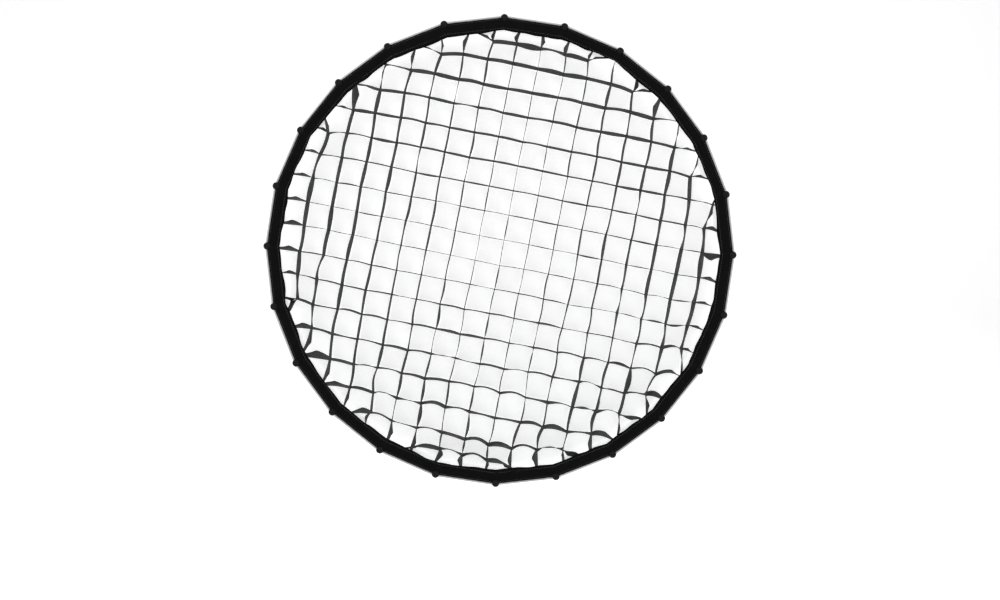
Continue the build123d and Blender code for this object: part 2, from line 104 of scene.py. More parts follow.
# ---- cloth -------------------------------------------------------------------------------------
CANOPY_ROOT = 0.0315
CANOPY_LIFT = 0.0043            # outer face of the canopy above the rib's centre line
CANOPY_THICKNESS = 0.0010
CANOPY_SAG = 0.0045
RIDGE_HEIGHT = 0.0012           # the rib's sleeve standing proud of the canopy
RIDGE_WIDTH = 0.006
BAND_ENDS = (CANOPY_ROOT, 0.10, 0.19, 0.30, 0.43, 0.58, RIB_LENGTH)
STATION = 0.024
ACROSS = (-1, -0.78, -0.55, -0.34, -0.2, -0.11, -0.05, 0, 0.05, 0.11, 0.2, 0.34, 0.55, 0.78, 1)
HEM_CORNER = 0.5915
HEM_WIDTH = 0.0325
HEM_THICKNESS = 0.0022
HEM_CROWN = 0.0026
HEM_TUCK_INNER = 0.0035
HEM_TUCK_OUTER = 0.0015
HEM_PUCKER = 0.0012
PIPING_CORNER = 0.594
PIPING_RADIUS = 0.0021
SKIRT_INSET = 0.0042            # the diffuser's turned-up edge inside the rods' centre lines
SKIRT_FRONT = 0.5620
BORDER_FRONT_OUT = 0.576
BORDER_REAR_OUT = 0.569
BORDER_DEPTH = 0.018
BORDER_THICKNESS = 0.0012
CLOTH_SPLIT = 0.440             # inside it the front cloths hang from the ring as they fold
WEDGES = 16
BAFFLE_WEDGES = 12

# ---- egg-crate grid ----------------------------------------------------------------------------
GRID_CELL = 0.064
GRID_TURN = math.radians(-10)
GRID_SHIFT = (0.005, 0.028)
RIBBON = 0.0009
RIBBON_END_FRONT = 0.575
RIBBON_END_REAR = 0.5610
SLACK_FROM = 0.510              # beyond it the hem's tapes draw the crossings inwards
SLACK_SHARE = 0.55
RIBBON_STEPS = 7
RIBBON_ROWS = 4
END_TWIST = (0.008, 0.016)      # how far a strip's end turns over beside the hem
STRIPS = range(-10, 11)         # strips' numbers each way, as far as STRIP_LIMIT lets them
STRIP_LIMIT = 0.563
FREE_END = 0.016                # the least from a strip's last crossing to the rim

# ---- elastic cuff ------------------------------------------------------------------------------
CUFF_REAR = 0.0155
CUFF_END = 0.047                # along the rib, over the canopy's root
CUFF_THICKNESS = 0.0009
CUFF_HELD = 0.032               # up to here, along the axis, the cuff lies on the ring
CUFF_FREE = 0.0535              # and from here it lies over the rib
LOCK_FORWARD = 0.0386
LOCK_SLIT = 0.0078              # reach of the cuff's slit along the axis, each way
LOCK_GAP = 0.86                 # share of a half sector that the cuff leaves open at a lock bolt

# ---- stitches ----------------------------------------------------------------------------------
SEAM_SIDE = 0.0052
STITCH_PITCH = 0.0062
STITCH_LENGTH = 0.0040
STITCH_RADIUS = 0.00045

# ---- studio ------------------------------------------------------------------------------------
CAMERA_AWAY = 2.6               # from the rim's plane
FRAME_WIDTH = 2.537             # what the picture's width spans at the rim's plane
CAMERA_ROLL = math.radians(1.1)
CAMERA_SHIFT = -0.0495
FLOOR_Z = cad_low[2] - 0.55


# ---- geometry helpers --------------------------------------------------------------------------
def place(angle, out, side, forward):
    """Points at a distance out from the axis, sideways of the rib plane at an angle, and forward."""
    out, side, forward = np.broadcast_arrays(
        np.asarray(out, float), np.asarray(side, float), np.asarray(forward, float)
    )
    c, s = math.cos(angle), math.sin(angle)
    return np.stack([out * c - side * s, -forward, out * s + side * c], axis=-1)


def rib_point(along, lift=0.0):
    """(out, forward) along the rib's centre line, lifted towards its outer side."""
    slope = ROOT_SLOPE - np.asarray(along, float) / RIB_CURVE
    out = PIVOT_OUT + RIB_CURVE * (np.cos(slope) - math.cos(ROOT_SLOPE))
    forward = PIVOT_FORWARD + RIB_CURVE * (math.sin(ROOT_SLOPE) - np.sin(slope))
    return out + lift * np.cos(slope), forward - lift * np.sin(slope)


def rib_out_at(forward):
    slope = math.sin(ROOT_SLOPE) - (forward - PIVOT_FORWARD) / RIB_CURVE
    return PIVOT_OUT + RIB_CURVE * (math.sqrt(1 - slope**2) - math.cos(ROOT_SLOPE))


def side_radius(corner, local):
    """Distance from the axis of a straight-sided rim, at an angle from its nearest corner."""
    return corner * math.cos(HALF) / np.cos(HALF - np.abs(local))


def smooth_noise(x, y, seed):
    return noise.noise(Vector((x, y, seed * 7.31)))


def link_object(name, data):
    made = bpy.data.objects.new(name, data)
    bpy.context.scene.collection.objects.link(made)
    return made


def new_piece(name, vertices, faces, materials, face_materials=None, uv=None, merge=0.0):
    """A mesh object at the origin. uv is one (u, v) for each vertex, in metres on the cloth."""
    mesh = bpy.data.meshes.new(name)
    mesh.from_pydata([tuple(v) for v in vertices], [], [tuple(int(i) for i in f) for f in faces])
    for material in materials:
        mesh.materials.append(material)
    if face_materials is not None:
        mesh.polygons.foreach_set("material_index", np.asarray(face_materials, np.int32))
    if uv is not None:
        layer = mesh.uv_layers.new(name="cloth")
        corner = np.zeros(len(mesh.loops), np.int32)
        mesh.loops.foreach_get("vertex_index", corner)
        layer.data.foreach_set("uv", np.asarray(uv, np.float32)[corner].ravel())
    bm = bmesh.new()
    bm.from_mesh(mesh)
    if merge:
        bmesh.ops.remove_doubles(bm, verts=bm.verts, dist=merge)
    bmesh.ops.recalc_face_normals(bm, faces=bm.faces)
    bm.to_mesh(mesh)
    bm.free()
    mesh.polygons.foreach_set("use_smooth", np.ones(len(mesh.polygons), bool))
    mesh.set_sharp_from_angle(angle=math.radians(45))
    return link_object(name, mesh)


def slab_arrays(front, back, uv):
    """Vertices, faces, face sides (1 for the back) and uvs of a closed sheet."""
    n, m = front.shape[:2]
    count = n * m
    index = np.arange(count).reshape(n, m)
    top = np.stack([index[:-1, :-1], index[1:, :-1], index[1:, 1:], index[:-1, 1:]], -1).reshape(-1, 4)
    ring = list(index[:, 0]) + list(index[-1, 1:]) + list(index[-2::-1, -1]) + list(index[0, -2:0:-1])
    following = ring[1:] + ring[:1]
    edge = np.array([(q, p, p + count, q + count) for p, q in zip(ring, following)])
    faces = np.concatenate([top, top[:, ::-1] + count, edge])
    side = np.concatenate([np.zeros(len(top)), np.ones(len(top)), np.zeros(len(edge))]).astype(int)
    vertices = np.concatenate([front.reshape(-1, 3), back.reshape(-1, 3)])
    return vertices, faces, side, np.concatenate([uv.reshape(-1, 2)] * 2)


def slab(name, parts, materials, merge=0.0):
    """One piece of one or more closed sheets, each given as (front grid, back grid, uv grid)."""
    vertices, faces, sides, uvs, start = [], [], [], [], 0
    for front, back, uv in parts:
        v, f, s, t = slab_arrays(front, back, uv)
        vertices.append(v)
        faces.append(f + start)
        sides.append(s)
        uvs.append(t)
        start += len(v)
    side = np.concatenate(sides) if len(materials) > 1 else None
    return new_piece(name, np.concatenate(vertices), np.concatenate(faces), materials, side,
                     np.concatenate(uvs), merge)


def tube(name, path, radius, material, sides=8):
    """A round closed cord through a list of points."""
    path = np.asarray(path, float)
    along = np.gradient(path, axis=0)
    along /= np.linalg.norm(along, axis=1)[:, None]
    up = np.array([0.0, 1.0, 0.0])
    first = np.cross(along, up)
    first /= np.linalg.norm(first, axis=1)[:, None]
    second = np.cross(along, first)
    turn = np.arange(sides) / sides * math.tau
    rings = path[:, None, :] + radius * (
        np.cos(turn)[None, :, None] * first[:, None, :] + np.sin(turn)[None, :, None] * second[:, None, :]
    )
    n = len(path)
    run = np.concatenate([[0], np.cumsum(np.linalg.norm(np.diff(path, axis=0), axis=1))])
    uv = np.stack(np.broadcast_arrays(run[:, None], (turn * radius)[None, :]), -1).reshape(-1, 2)
    faces = [
        (start + k, start + (k + 1) % sides, start + sides + (k + 1) % sides, start + sides + k)
        for start in range(0, (n - 1) * sides, sides) for k in range(sides)
    ]
    faces += [list(range(sides)), list(range((n - 1) * sides, n * sides))]
    return new_piece(name, rings.reshape(-1, 3), faces, [material], None, uv)


# ---- material helpers --------------------------------------------------------------------------
def group_sockets(tree, direction, entries):
    for name, kind, default in entries:
        socket = tree.interface.new_socket(name, in_out=direction, socket_type=kind)
        if default is not None:
            socket.default_value = default


def feed(socket, value):
    """Link an input to another node's output, or give it a value of its own."""
    if isinstance(value, bpy.types.NodeSocket):
        socket.id_data.links.new(value, socket)
    else:
        socket.default_value = value


def set_inputs(node, **values):
    """Feed a node's inputs by name, an underscore standing for a space."""
    for name, value in values.items():
        feed(node.inputs[name.replace("_", " ")], value)
    return node


def math_node(nodes, operation, first, second=None, clamp=False):
    node = nodes.new("ShaderNodeMath")
    node.operation = operation
    node.use_clamp = clamp
    for socket, value in zip(node.inputs, (first, second)):
        if value is not None:
            feed(socket, value)
    return node.outputs[0]


def weave_group():
    """Plain weave with a heavier ripstop square: a tone mask and a height."""
    tree = bpy.data.node_groups.new("weave", "ShaderNodeTree")
    group_sockets(tree, "INPUT", [
        ("Vector", "NodeSocketVector", None), ("Thread", "NodeSocketFloat", 0.0008),
        ("Ripstop", "NodeSocketFloat", 0.006), ("Ripstop Depth", "NodeSocketFloat", 0.5),
    ])
    group_sockets(tree, "OUTPUT", [("Mask", "NodeSocketFloat", None), ("Height", "NodeSocketFloat", None)])
    nodes = tree.nodes
    inside, outside = nodes.new("NodeGroupInput"), nodes.new("NodeGroupOutput")
    split = set_inputs(nodes.new("ShaderNodeSeparateXYZ"), Vector=inside.outputs["Vector"])
    waves = []
    for axis in (0, 1):
        turns = math_node(nodes, "DIVIDE", split.outputs[axis], inside.outputs["Thread"])
        angle = math_node(nodes, "MULTIPLY", turns, math.tau)
        waves.append(math_node(nodes, "SINE", angle))
    plain = math_node(nodes, "MULTIPLY", waves[0], waves[1])
    bars = []
    for axis in (0, 1):
        turns = math_node(nodes, "DIVIDE", split.outputs[axis], inside.outputs["Ripstop"])
        saw = math_node(nodes, "FRACT", turns)
        bars.append(math_node(nodes, "LESS_THAN", saw, 0.16))
    rip = math_node(nodes, "MAXIMUM", bars[0], bars[1])
    rip = math_node(nodes, "MULTIPLY", rip, inside.outputs["Ripstop Depth"])
    half = math_node(nodes, "MULTIPLY", plain, 0.5)
    height = math_node(nodes, "ADD", half, rip)
    mask = math_node(nodes, "ADD", math_node(nodes, "MULTIPLY", height, 0.5), 0.5, True)
    set_inputs(outside, Height=height, Mask=mask)
    return tree


def tone_group():
    """Broad and fine variation of a surface: handling marks, dust and soft wear, from 0 to 1."""
    tree = bpy.data.node_groups.new("tone", "ShaderNodeTree")
    group_sockets(tree, "INPUT", [
        ("Vector", "NodeSocketVector", None), ("Broad", "NodeSocketFloat", 6.0),
        ("Fine", "NodeSocketFloat", 60.0), ("Fine Share", "NodeSocketFloat", 0.35),
    ])
    group_sockets(tree, "OUTPUT", [("Value", "NodeSocketFloat", None)])
    nodes = tree.nodes
    inside, outside = nodes.new("NodeGroupInput"), nodes.new("NodeGroupOutput")
    found = []
    for name, detail in (("Broad", 3.0), ("Fine", 4.0)):
        spread = set_inputs(nodes.new("ShaderNodeTexNoise"), Detail=detail,
                            Vector=inside.outputs["Vector"], Scale=inside.outputs[name])
        found.append(spread.outputs["Fac"])
    mix = set_inputs(nodes.new("ShaderNodeMix"), Factor=inside.outputs["Fine Share"], A=found[0],
                     B=found[1])
    set_inputs(outside, Value=mix.outputs["Result"])
    return tree


def object_place(nodes):
    return nodes.new("ShaderNodeTexCoord").outputs["Object"]


def cloth_map(nodes):
    where = nodes.new("ShaderNodeUVMap")
    where.uv_map = "cloth"
    return where.outputs["UV"]


def start_material(name):
    material = bpy.data.materials.new(name)
    material.use_nodes = True
    nodes = material.node_tree.nodes
    return material, nodes, nodes["Principled BSDF"]


def place_group(nodes, tree, vector, **values):
    node = nodes.new("ShaderNodeGroup")
    node.node_tree = tree
    return set_inputs(node, Vector=vector, **values)


def colour_between(nodes, factor, low, high):
    mix = nodes.new("ShaderNodeMix")
    mix.data_type = "RGBA"
    set_inputs(mix, A=(*low, 1), B=(*high, 1), Factor=factor)
    return mix.outputs["Result"]


def value_between(nodes, factor, low, high):
    node = set_inputs(nodes.new("ShaderNodeMapRange"), To_Min=low, To_Max=high, Value=factor)
    return node.outputs["Result"]


def tone_surface(nodes, shader, tone, colours, roughness):
    """Colour and roughness that change together with a tone."""
    set_inputs(shader, Base_Color=colour_between(nodes, tone, *colours),
               Roughness=value_between(nodes, tone, *roughness))


def add_bump(nodes, shader, height, strength, distance):
    bump = set_inputs(nodes.new("ShaderNodeBump"), Strength=strength, Distance=distance, Height=height)
    set_inputs(shader, Normal=bump.outputs["Normal"])


WEAVE = weave_group()
TONE = tone_group()


def cloth_material(name, low, high, thread, ripstop, roughness, sheen=0.05, shine=0.3, wrinkle=0.3):
    """Woven cloth: threads and ripstop from the piece's own cloth map, broad wrinkles from its place."""
    material, nodes, shader = start_material(name)
    weave = place_group(nodes, WEAVE, cloth_map(nodes), Thread=thread, Ripstop=ripstop)
    tone = place_group(nodes, TONE, object_place(nodes), Broad=7.0, Fine=90.0)
    threads = math_node(nodes, "MULTIPLY", weave.outputs["Mask"], 0.5)
    handling = math_node(nodes, "MULTIPLY", tone.outputs["Value"], 0.5)
    blend = math_node(nodes, "ADD", threads, handling)
    set_inputs(shader, Base_Color=colour_between(nodes, blend, low, high),
               Roughness=value_between(nodes, tone.outputs["Value"], roughness - 0.1, roughness + 0.1))
    set_inputs(shader, Specular_IOR_Level=shine, Sheen_Weight=sheen, Sheen_Roughness=0.5)
    broad = math_node(nodes, "MULTIPLY", tone.outputs["Value"], wrinkle * 6)
    height = math_node(nodes, "ADD", weave.outputs["Height"], broad)
    add_bump(nodes, shader, height, 0.35, 0.0006)
    return material


def silver_lining():
    """Aluminised lining cloth: pebbled, bright, softly reflective."""
    material, nodes, shader = start_material("silver_lining")
    pebble = set_inputs(nodes.new("ShaderNodeTexVoronoi"), Scale=420.0, Vector=cloth_map(nodes))
    tone = place_group(nodes, TONE, object_place(nodes), Broad=9.0)
    silver = (0.62, 0.63, 0.65), (0.86, 0.86, 0.87)
    tone_surface(nodes, shader, tone.outputs["Value"], silver, (0.28, 0.45))
    set_inputs(shader, Metallic=0.7)
    add_bump(nodes, shader, pebble.outputs["Distance"], 0.5, 0.0008)
    return material


def painted_glow_falloff(nodes, flat, upward):
    """How far a cloth's painted glow is dimmed, from 0 to 1: painted shade towards the rim, downwards and
    in streaks.
    """
    away = nodes.new("ShaderNodeVectorMath")
    away.operation = "LENGTH"
    set_inputs(away, Vector=flat)
    fall = nodes.new("ShaderNodeMapRange")
    fall.interpolation_type = "SMOOTHSTEP"
    set_inputs(fall, From_Min=0.05, From_Max=DIFFUSER_OUT, Value=away.outputs["Value"])
    sink = set_inputs(nodes.new("ShaderNodeMapRange"), From_Min=0.05, From_Max=-DIFFUSER_OUT, Value=upward)
    turned = set_inputs(nodes.new("ShaderNodeMapping"), Rotation=(0, 0, -GRID_TURN), Vector=flat)
    stretched = set_inputs(nodes.new("ShaderNodeMapping"), Scale=(60, 7, 1), Vector=turned.outputs[0])
    streak = set_inputs(nodes.new("ShaderNodeTexNoise"), Scale=1.0, Vector=stretched.outputs[0])
    falling = math_node(nodes, "MULTIPLY", fall.outputs[0], 0.12)
    sinking = math_node(nodes, "MULTIPLY", sink.outputs[0], 0.65)
    lower = math_node(nodes, "ADD", falling, sinking)
    streaks = math_node(nodes, "MULTIPLY", streak.outputs["Fac"], 0.32)
    return math_node(nodes, "ADD", lower, streaks, True)


def diffusion_cloth(name, glow, low, high):
    """White diffusion nylon, its glow from the lamp behind it painted in as emission."""
    material, nodes, shader = start_material(name)
    split = set_inputs(nodes.new("ShaderNodeSeparateXYZ"), Vector=object_place(nodes))
    flat = set_inputs(nodes.new("ShaderNodeCombineXYZ"), X=split.outputs["X"], Y=split.outputs["Z"])
    # painted shade on the painted glow: dimmer towards the rim, lower down and in streaks
    painted_shade = painted_glow_falloff(nodes, flat.outputs[0], split.outputs["Z"])
    weave = place_group(nodes, WEAVE, flat.outputs[0], Thread=0.0011, Ripstop=0.02, Ripstop_Depth=0.15)
    white = colour_between(nodes, weave.outputs["Mask"], (0.78, 0.78, 0.78), (0.86, 0.86, 0.86))
    set_inputs(shader, Base_Color=white, Roughness=0.75, Emission_Strength=glow,
               Emission_Color=colour_between(nodes, painted_shade, high, low))
    add_bump(nodes, shader, weave.outputs["Height"], 0.2, 0.0005)
    return material


def metal(name, low, high, roughness, metallic=1.0, turned=False, coat=0.0):
    """Turned, plated or painted metal with fine machining lines and softly worn tone."""
    material, nodes, shader = start_material(name)
    where = object_place(nodes)
    tone = place_group(nodes, TONE, where, Broad=40.0, Fine=300.0)
    spread = (roughness - 0.08, roughness + 0.1)
    tone_surface(nodes, shader, tone.outputs["Value"], (low, high), spread)
    set_inputs(shader, Metallic=metallic, Coat_Weight=coat)
    if turned:
        lathe = nodes.new("ShaderNodeTexWave")
        lathe.wave_type = "RINGS"
        lathe.rings_direction = "Y"
        set_inputs(lathe, Scale=500.0, Distortion=1.5, Vector=where)
        height = lathe.outputs["Fac"]
    else:
        grain = set_inputs(nodes.new("ShaderNodeTexNoise"), Scale=1400.0, Vector=where)
        height = grain.outputs["Fac"]
    add_bump(nodes, shader, height, 0.18, 0.0003)
    return material


def plastic(name, low, high, roughness):
    """Moulded plastic with a fine spark-eroded grain and handling wear."""
    material, nodes, shader = start_material(name)
    where = object_place(nodes)
    tone = place_group(nodes, TONE, where, Broad=30.0, Fine=240.0)
    spread = (roughness - 0.1, roughness + 0.1)
    tone_surface(nodes, shader, tone.outputs["Value"], (low, high), spread)
    grain = set_inputs(nodes.new("ShaderNodeTexVoronoi"), Scale=1600.0, Vector=where)
    add_bump(nodes, shader, grain.outputs["Distance"], 0.25, 0.0003)
    return material


def rib_finish():
    """Fibreglass rod with lengthwise fibres, a moulded heel by the ring and a rubber cap at the tip."""
    material, nodes, shader = start_material("rib_fibreglass")
    where = object_place(nodes)
    split = set_inputs(nodes.new("ShaderNodeSeparateXYZ"), Vector=where)
    squares = [math_node(nodes, "POWER", split.outputs[axis], 2.0) for axis in (0, 2)]
    away = math_node(nodes, "SQRT", math_node(nodes, "ADD", *squares))
    heel = math_node(nodes, "LESS_THAN", away, HEEL_OUT)
    cap = math_node(nodes, "GREATER_THAN", away, CAP_OUT)
    tone = place_group(nodes, TONE, where, Broad=18.0, Fine=420.0)
    rod = colour_between(nodes, tone.outputs["Value"], (0.035, 0.036, 0.038), (0.085, 0.086, 0.09))
    fitting = colour_between(nodes, tone.outputs["Value"],
                             (0.0015, 0.0015, 0.0015), (0.008, 0.008, 0.0085))
    ends = math_node(nodes, "MAXIMUM", heel, cap)
    mix = nodes.new("ShaderNodeMix")
    mix.data_type = "RGBA"
    set_inputs(mix, Factor=ends, A=rod, B=fitting)
    smooth = value_between(nodes, tone.outputs["Value"], 0.25, 0.45)
    rough = math_node(nodes, "ADD", smooth, math_node(nodes, "MULTIPLY", ends, 0.3))
    set_inputs(shader, Base_Color=mix.outputs["Result"], Roughness=rough, Specular_IOR_Level=0.10)
    fibre = set_inputs(nodes.new("ShaderNodeTexNoise"), Scale=900.0, Detail=5.0, Vector=where)
    add_bump(nodes, shader, fibre.outputs["Fac"], 0.2, 0.0003)
    return material


black_nylon = cloth_material("black_nylon", (0.004, 0.004, 0.005), (0.018, 0.018, 0.020), 0.0007, 0.0055,
                             0.6, shine=0.15)
lining = silver_lining()
hem_cloth = cloth_material("hem_webbing", (0.0006, 0.0006, 0.0006), (0.0042, 0.0042, 0.0045), 0.0012, 0.05,
                           0.8, sheen=0.0, shine=0.045, wrinkle=1.0)
ribbon_cloth = cloth_material("grid_ribbon", (0.012, 0.012, 0.013), (0.042, 0.042, 0.044), 0.0009, 0.012,
                              0.7, shine=0.15)
piping_cloth = cloth_material("piping_braid", (0.26, 0.26, 0.27), (0.46, 0.46, 0.47), 0.0012, 0.004, 0.6)
cuff_cloth = cloth_material("cuff_elastic", (0.003, 0.003, 0.003), (0.018, 0.018, 0.019), 0.0010, 0.0035,
                            0.7, shine=0.15, wrinkle=0.8)
# the diffusion cloths glow by painted emission, with painted shade towards the rim, lower down and in
# streaks
front_cloth = diffusion_cloth("front_diffusion", 0.72, (0.885, 0.89, 0.895), (1.0, 1.0, 1.0))
baffle_cloth = diffusion_cloth("baffle_diffusion", 0.5, (0.92, 0.92, 0.93), (1.0, 1.0, 1.0))
thread = plastic("sewing_thread", (0.02, 0.02, 0.021), (0.07, 0.07, 0.072), 0.55)
powder_coat = metal("powder_coat", (0.012, 0.012, 0.013), (0.034, 0.034, 0.036), 0.45, metallic=0.1,
                    coat=0.15)
turned_steel = metal("turned_steel", (0.42, 0.42, 0.43), (0.62, 0.62, 0.63), 0.30, turned=True)
anodised = metal("anodised_aluminium", (0.50, 0.51, 0.52), (0.72, 0.73, 0.74), 0.34, turned=True)
plated = metal("plated_steel", (0.48, 0.47, 0.45), (0.70, 0.69, 0.67), 0.28)
runner_nylon = plastic("runner_nylon", (0.010, 0.010, 0.011), (0.040, 0.040, 0.042), 0.5)
knob_plastic = plastic("knob_plastic", (0.008, 0.008, 0.009), (0.030, 0.030, 0.031), 0.45)
rib_glass = rib_finish()


def finish_hardware():
    """The CAD nodes that show keep their shape and take these finishes."""
    finishes = {
        "mount_insert": turned_steel, "retaining_ring": plated, "speed_ring": powder_coat,
        "guide_sleeve": anodised, "runner_collar": runner_nylon, "hinge_pins": plated,
        "lock_bolt_1": plated, "lock_bolt_2": plated, "rotation_knob": knob_plastic,
    }
    for i in range(RIB_COUNT):
        finishes[f"rib_{i + 1:02d}"] = rib_glass
    for name, material in finishes.items():
        mesh = bpy.data.objects[name].data
        mesh.materials.clear()
        mesh.materials.append(material)


# ---- camera and studio -------------------------------------------------------------------------
def make_camera():
    data = bpy.data.cameras.new("camera")
    data.sensor_width = 36
    data.lens = data.sensor_width * CAMERA_AWAY / FRAME_WIDTH
    data.shift_y = CAMERA_SHIFT
    data.clip_end = 60
    camera = link_object("camera", data)
    camera.location = (0, -(TIP_FORWARD + CAMERA_AWAY), 0)
    camera.rotation_euler = (math.radians(90), -CAMERA_ROLL, 0)
    bpy.context.scene.camera = camera


def make_stage():
    """One pale sweep of paper: floor, curve and wall."""
    material, nodes, shader = start_material("sweep_paper")
    tone = place_group(nodes, TONE, object_place(nodes), Broad=0.6, Fine=8.0)
    paper = colour_between(nodes, tone.outputs["Value"], (0.93, 0.93, 0.93), (0.95, 0.95, 0.95))
    set_inputs(shader, Base_Color=paper, Roughness=0.9)
    near, far, bend, tall, wide = -9.0, 5.0, 1.6, 8.0, 14.0
    turn = np.linspace(0, math.pi / 2, 17)
    y = np.concatenate([[near], far - bend + bend * np.sin(turn), [far]])
    z = np.concatenate([[0], bend - bend * np.cos(turn), [tall]]) + FLOOR_Z
    vertices = [(x, a, b) for x in (-wide, wide) for a, b in zip(y, z)]
    n = len(y)
    faces = [(i, i + n, i + 1 + n, i + 1) for i in range(n - 1)]
    mesh = bpy.data.meshes.new("sweep")
    mesh.from_pydata(vertices, [], faces)
    mesh.materials.append(material)
    mesh.polygons.foreach_set("use_smooth", np.ones(len(mesh.polygons), bool))
    link_object("sweep", mesh)


def soft_light(name, location, size, power):
    data = bpy.data.lights.new(name, "AREA")
    data.size = size
    data.energy = power
    lamp = link_object(name, data)
    lamp.location = location
    lamp.visible_camera = False
    lamp.rotation_euler = (Vector((0, -0.3, 0)) - Vector(location)).to_track_quat("-Z", "Y").to_euler()


def make_light():
    world = bpy.data.worlds.new("studio")
    world.use_nodes = True
    world.node_tree.nodes["Background"].inputs["Color"].default_value = (1, 1, 1, 1)
    world.node_tree.nodes["Background"].inputs["Strength"].default_value = 0.85
    bpy.context.scene.world = world
    bpy.context.scene.view_settings.view_transform = "Standard"
    soft_light("key", (-2.6, -3.2, 2.6), 2.2, 90)
    soft_light("fill", (3.2, -2.0, 1.6), 2.6, 60)
    soft_light("back", (1.8, 3.0, 2.8), 2.2, 110)
    soft_light("wall", (-2.5, 2.5, 1.0), 2.4, 60)


def gather_on_rib(piece, i):
    """Hang a piece on a rib, with a mesh of its own."""
    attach(piece, f"rib_body_{i + 1:02d}")
    place(i * STEP, TIP_OUT, 0, TIP_FORWARD)
    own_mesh(piece)


# ---- canopy ------------------------------------------------------------------------------------
def stations(start, end, step=STATION):
    return np.linspace(start, end, max(2, int(round((end - start) / step)) + 1))


def canopy_grid(angle, along, across, lift):
    """Canopy points for rows along a rib and columns across it, from -1 to 1 between mid-panels."""
    s, u = np.meshgrid(along, across, indexing="ij")
    out = rib_point(s)[0]
    aside = math.cos(HALF) * math.sin(HALF) * u
    draw = np.sin(math.pi * (s - CANOPY_ROOT) / (RIB_LENGTH - CANOPY_ROOT)).clip(0) ** 0.6
    sag = CANOPY_SAG * np.sin(math.pi * np.abs(u) / 2) ** 2 * draw * out / TIP_OUT
    ridge = RIDGE_HEIGHT * np.exp(-((out * aside / RIDGE_WIDTH) ** 2))
    out, forward = rib_point(s, lift + ridge - sag)
    bent = out * (1 - math.sin(HALF) ** 2 * np.abs(u))
    return place(angle, bent, out * aside, forward)


def make_canopy():
    """Each gore in bands along its rib, each band hung on the rib."""
    across = np.array(ACROSS, float)
    for i in range(RIB_COUNT):
        for band, (start, end) in enumerate(zip(BAND_ENDS, BAND_ENDS[1:])):
            along = stations(start, end)
            outer = canopy_grid(i * STEP, along, across, CANOPY_LIFT)
            inner = canopy_grid(i * STEP, along, across, CANOPY_LIFT - CANOPY_THICKNESS)
            width = rib_point(along)[0][:, None] * math.sin(HALF) * across[None, :]
            uv = np.stack(np.broadcast_arrays(width, along[:, None]), -1)
            name = f"canopy_{i + 1:02d}_{band + 1}"
            piece = slab(name, [(outer, inner, uv)], [black_nylon, lining])
            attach(piece, f"rib_body_{i + 1:02d}")
            place(i * STEP, PIVOT_OUT, 0, 0)
            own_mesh(piece)
            if band == len(BAND_ENDS) - 2:
                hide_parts(f"canopy_gore_{i + 1:02d}")


# ---- hem, piping and the grid's border ---------------------------------------------------------
def rim_local(count):
    return np.linspace(-HALF, HALF, count)


def hem_edge(angle, local):
    """The hem's inner edge, parallel to the rim, which the tapes pull in and let out a little."""
    out = side_radius(HEM_CORNER - HEM_WIDTH, local)
    slow = [smooth_noise(3.2 * math.cos(a), 3.2 * math.sin(a), 1.0) for a in local + angle]
    fast = [smooth_noise(15 * math.cos(a), 15 * math.sin(a), 2.0) for a in local + angle]
    return out + 0.0050 * np.array(slow) + 0.0040 * np.array(fast)


def hem_crown(share):
    """How far the hem stands forward, from its inner edge (0) to its outer edge (1)."""
    return HEM_CROWN * np.sin(math.pi * share) ** 0.5


def make_hem(i):
    angle, local = i * STEP, rim_local(19)
    inner, outer = hem_edge(angle, local), side_radius(HEM_CORNER, local)
    share = np.array([0, 0.06, 0.2, 0.4, 0.6, 0.8, 0.94, 1.0])
    out = inner[None, :] + (outer - inner)[None, :] * share[:, None]
    crown = hem_crown(share)
    crown[0], crown[-1] = -HEM_TUCK_INNER, -HEM_TUCK_OUTER
    pucker = np.array([[smooth_noise(40 * r * math.cos(a), 40 * r * math.sin(a), 3.0)
                        for a, r in zip(local + angle, row)] for row in out])
    forward = TIP_FORWARD + crown[:, None] + HEM_PUCKER * pucker
    front = place(angle, out * np.cos(local), out * np.sin(local), forward)
    back = place(angle, out * np.cos(local), out * np.sin(local), forward - HEM_THICKNESS)
    uv = np.stack([out * local[None, :], out], -1)
    return slab(f"hem_{i + 1:02d}", [(front, back, uv)], [hem_cloth])


def make_border(i):
    """The strip that holds the grid's ends, standing on edge inside the rim."""
    angle, local = i * STEP, rim_local(19)
    out = np.stack([np.full(len(local), BORDER_FRONT_OUT), np.full(len(local), BORDER_REAR_OUT)])
    thick = out + BORDER_THICKNESS
    forward = np.array([[GRID_FRONT + 0.0010], [GRID_FRONT - BORDER_DEPTH]])
    face = place(angle, out * np.cos(local), out * np.sin(local), forward)
    away = place(angle, thick * np.cos(local), thick * np.sin(local), forward)
    uv = np.stack(np.broadcast_arrays(out * local, forward), -1)
    return slab(f"grid_border_{i + 1:02d}", [(face, away, uv)], [hem_cloth])


def make_piping(i):
    """Half of each of a rib's two sides of the rim."""
    angles = [(i + side) * STEP for side in (-1, 0, 1)]
    before, corner, after = (place(angle, PIPING_CORNER, 0, TIP_FORWARD) for angle in angles)
    path = [corner + (before - corner) * t for t in (0.5, 0.35, 0.2, 0.08)]
    path += [corner] + [corner + (after - corner) * t for t in (0.08, 0.2, 0.35, 0.5)]
    return tube(f"piping_{i + 1:02d}", path, PIPING_RADIUS, piping_cloth)


def make_rim():
    for i in range(RIB_COUNT):
        hem, border, piping = make_hem(i), make_border(i), make_piping(i)
        gather_on_rib(hem, i)
        gather_on_rib(border, i)
        gather_on_rib(piping, i)


# ---- egg-crate grid ----------------------------------------------------------------------------
def sector_of(x, z):
    """Which piece of the front cloths a point belongs to: a rib's number, or a wedge's, from -1 down."""
    turn = math.atan2(z, x) % math.tau
    if math.hypot(x, z) > CLOTH_SPLIT:
        return int((turn + HALF) // STEP) % RIB_COUNT
    return -1 - int(turn // (math.tau / WEDGES)) % WEDGES


